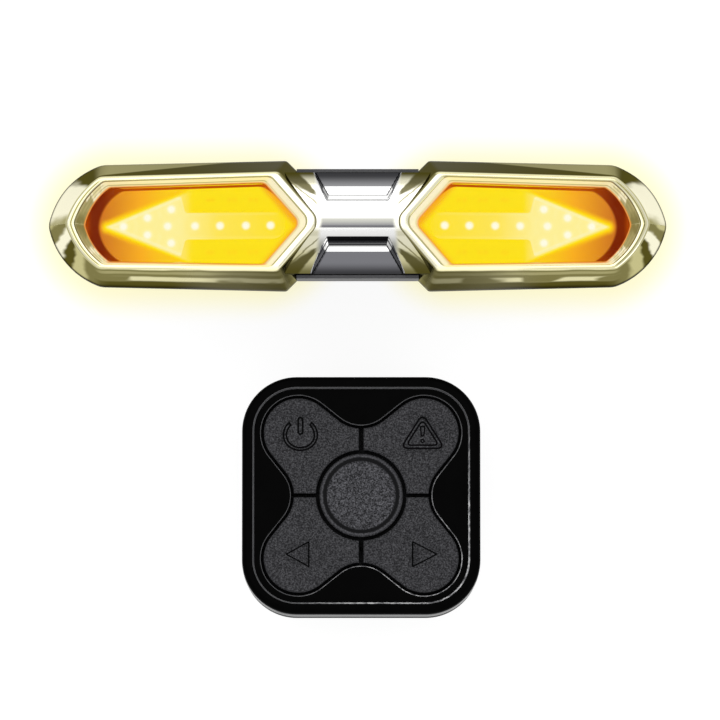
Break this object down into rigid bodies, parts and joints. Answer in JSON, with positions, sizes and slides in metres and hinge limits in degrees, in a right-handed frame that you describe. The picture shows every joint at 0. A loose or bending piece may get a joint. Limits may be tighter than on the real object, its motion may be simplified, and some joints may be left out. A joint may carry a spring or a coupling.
{
  "type": "bicycle tail light",
  "caption": "Winged tail light with amber turn arrows in a chrome bezel on a seat post bracket, and its square handlebar remote with petal keys.",
  "frame": {"origin": "on the table, under the middle of the light and remote as they lie in a row", "axes": "+Z the way both faces look; +X along the light, to the right of its face; +Y up the seat post, from the remote to the light"},
  "size_m": [0.1036, 0.0758, 0.031],
  "materials": {
    "chrome_bezel": "bright plated plastic",
    "shell_gray": "fine satin",
    "seal_rubber": "soft matte",
    "screw_steel": "plain",
    "board_green": "solder mask",
    "board_white": "white solder mask",
    "chip_black": "moulded",
    "cell_foil": "foil",
    "amber_lens": "clear, polished",
    "reflector_amber": "lit amber",
    "arrow_glow": "lit diffuser",
    "led_glow": "lit lamp",
    "bracket_black": "fine grain",
    "remote_gloss": "piano black",
    "remote_matte": "satin",
    "key_rubber": "fine grain",
    "membrane_gray": "soft matte"
  },
  "bodies": {
    "light_and_remote": {"bezel": "chrome_bezel", "rear_shell": "shell_gray", "gasket": "seal_rubber", "rear_screws": "screw_steel", "main_board": "board_green", "board_parts": "chip_black", "battery": "cell_foil", "tact_switch": "chip_black", "usb_socket": "screw_steel", "cover_anchor": "seal_rubber", "left_lens": "amber_lens", "right_lens": "amber_lens", "left_reflector": "reflector_amber", "right_reflector": "reflector_amber", "left_arrow_guide": "arrow_glow", "right_arrow_guide": "arrow_glow", "left_led_board": "board_white", "right_led_board": "board_white", "left_leds": "led_glow", "right_leds": "led_glow", "remote_top_case": "remote_gloss", "remote_bottom_case": "remote_matte", "saddle_pads": "seal_rubber", "keypad_membrane": "membrane_gray", "remote_board": "board_green", "key_switches": "screw_steel", "coin_cell": "cell_foil", "cell_contacts": "screw_steel", "remote_screws": "screw_steel"},
    "bracket": {"bracket": "bracket_black", "bracket_pad": "seal_rubber"},
    "power_button": {"power_button": "seal_rubber"},
    "usb_cover": {"usb_cover": "seal_rubber"},
    "battery_door": {"battery_door": "remote_matte", "door_seal": "seal_rubber"},
    "power_key": {"power_key": "key_rubber"},
    "hazard_key": {"hazard_key": "key_rubber"},
    "left_key": {"left_key": "key_rubber"},
    "right_key": {"right_key": "key_rubber"},
    "centre_key": {"centre_key": "key_rubber"}
  },
  "joints": [
    {"name": "bracket_slide", "type": "slide", "parent": "light_and_remote", "child": "bracket", "axis": [0, -1, 0], "range_m": [0, 0.012]},
    {"name": "power_button_press", "type": "slide", "parent": "light_and_remote", "child": "power_button", "axis": [0, 0, 1], "range_m": [0, 0.0008], "stiffness_N_per_m": 400},
    {"name": "usb_cover_hinge", "type": "hinge", "parent": "light_and_remote", "child": "usb_cover", "pos_m": [-0.031, 0.0321, 0.01192], "axis": [1, 0, 0], "range_deg": [0, 95]},
    {"name": "battery_door_twist", "type": "hinge", "parent": "light_and_remote", "child": "battery_door", "pos_m": [0.0006, -0.01792, 0.00639], "axis": [0, 0, 1], "range_deg": [0, 30]},
    {"name": "power_key_press", "type": "slide", "parent": "light_and_remote", "child": "power_key", "axis": [0, 0, -1], "range_m": [0, 0.0006], "stiffness_N_per_m": 400},
    {"name": "hazard_key_press", "type": "slide", "parent": "light_and_remote", "child": "hazard_key", "axis": [0, 0, -1], "range_m": [0, 0.0006], "stiffness_N_per_m": 400},
    {"name": "left_key_press", "type": "slide", "parent": "light_and_remote", "child": "left_key", "axis": [0, 0, -1], "range_m": [0, 0.0006], "stiffness_N_per_m": 400},
    {"name": "right_key_press", "type": "slide", "parent": "light_and_remote", "child": "right_key", "axis": [0, 0, -1], "range_m": [0, 0.0006], "stiffness_N_per_m": 400},
    {"name": "centre_key_press", "type": "slide", "parent": "light_and_remote", "child": "centre_key", "axis": [0, 0, -1], "range_m": [0, 0.0006], "stiffness_N_per_m": 400}
  ]
}
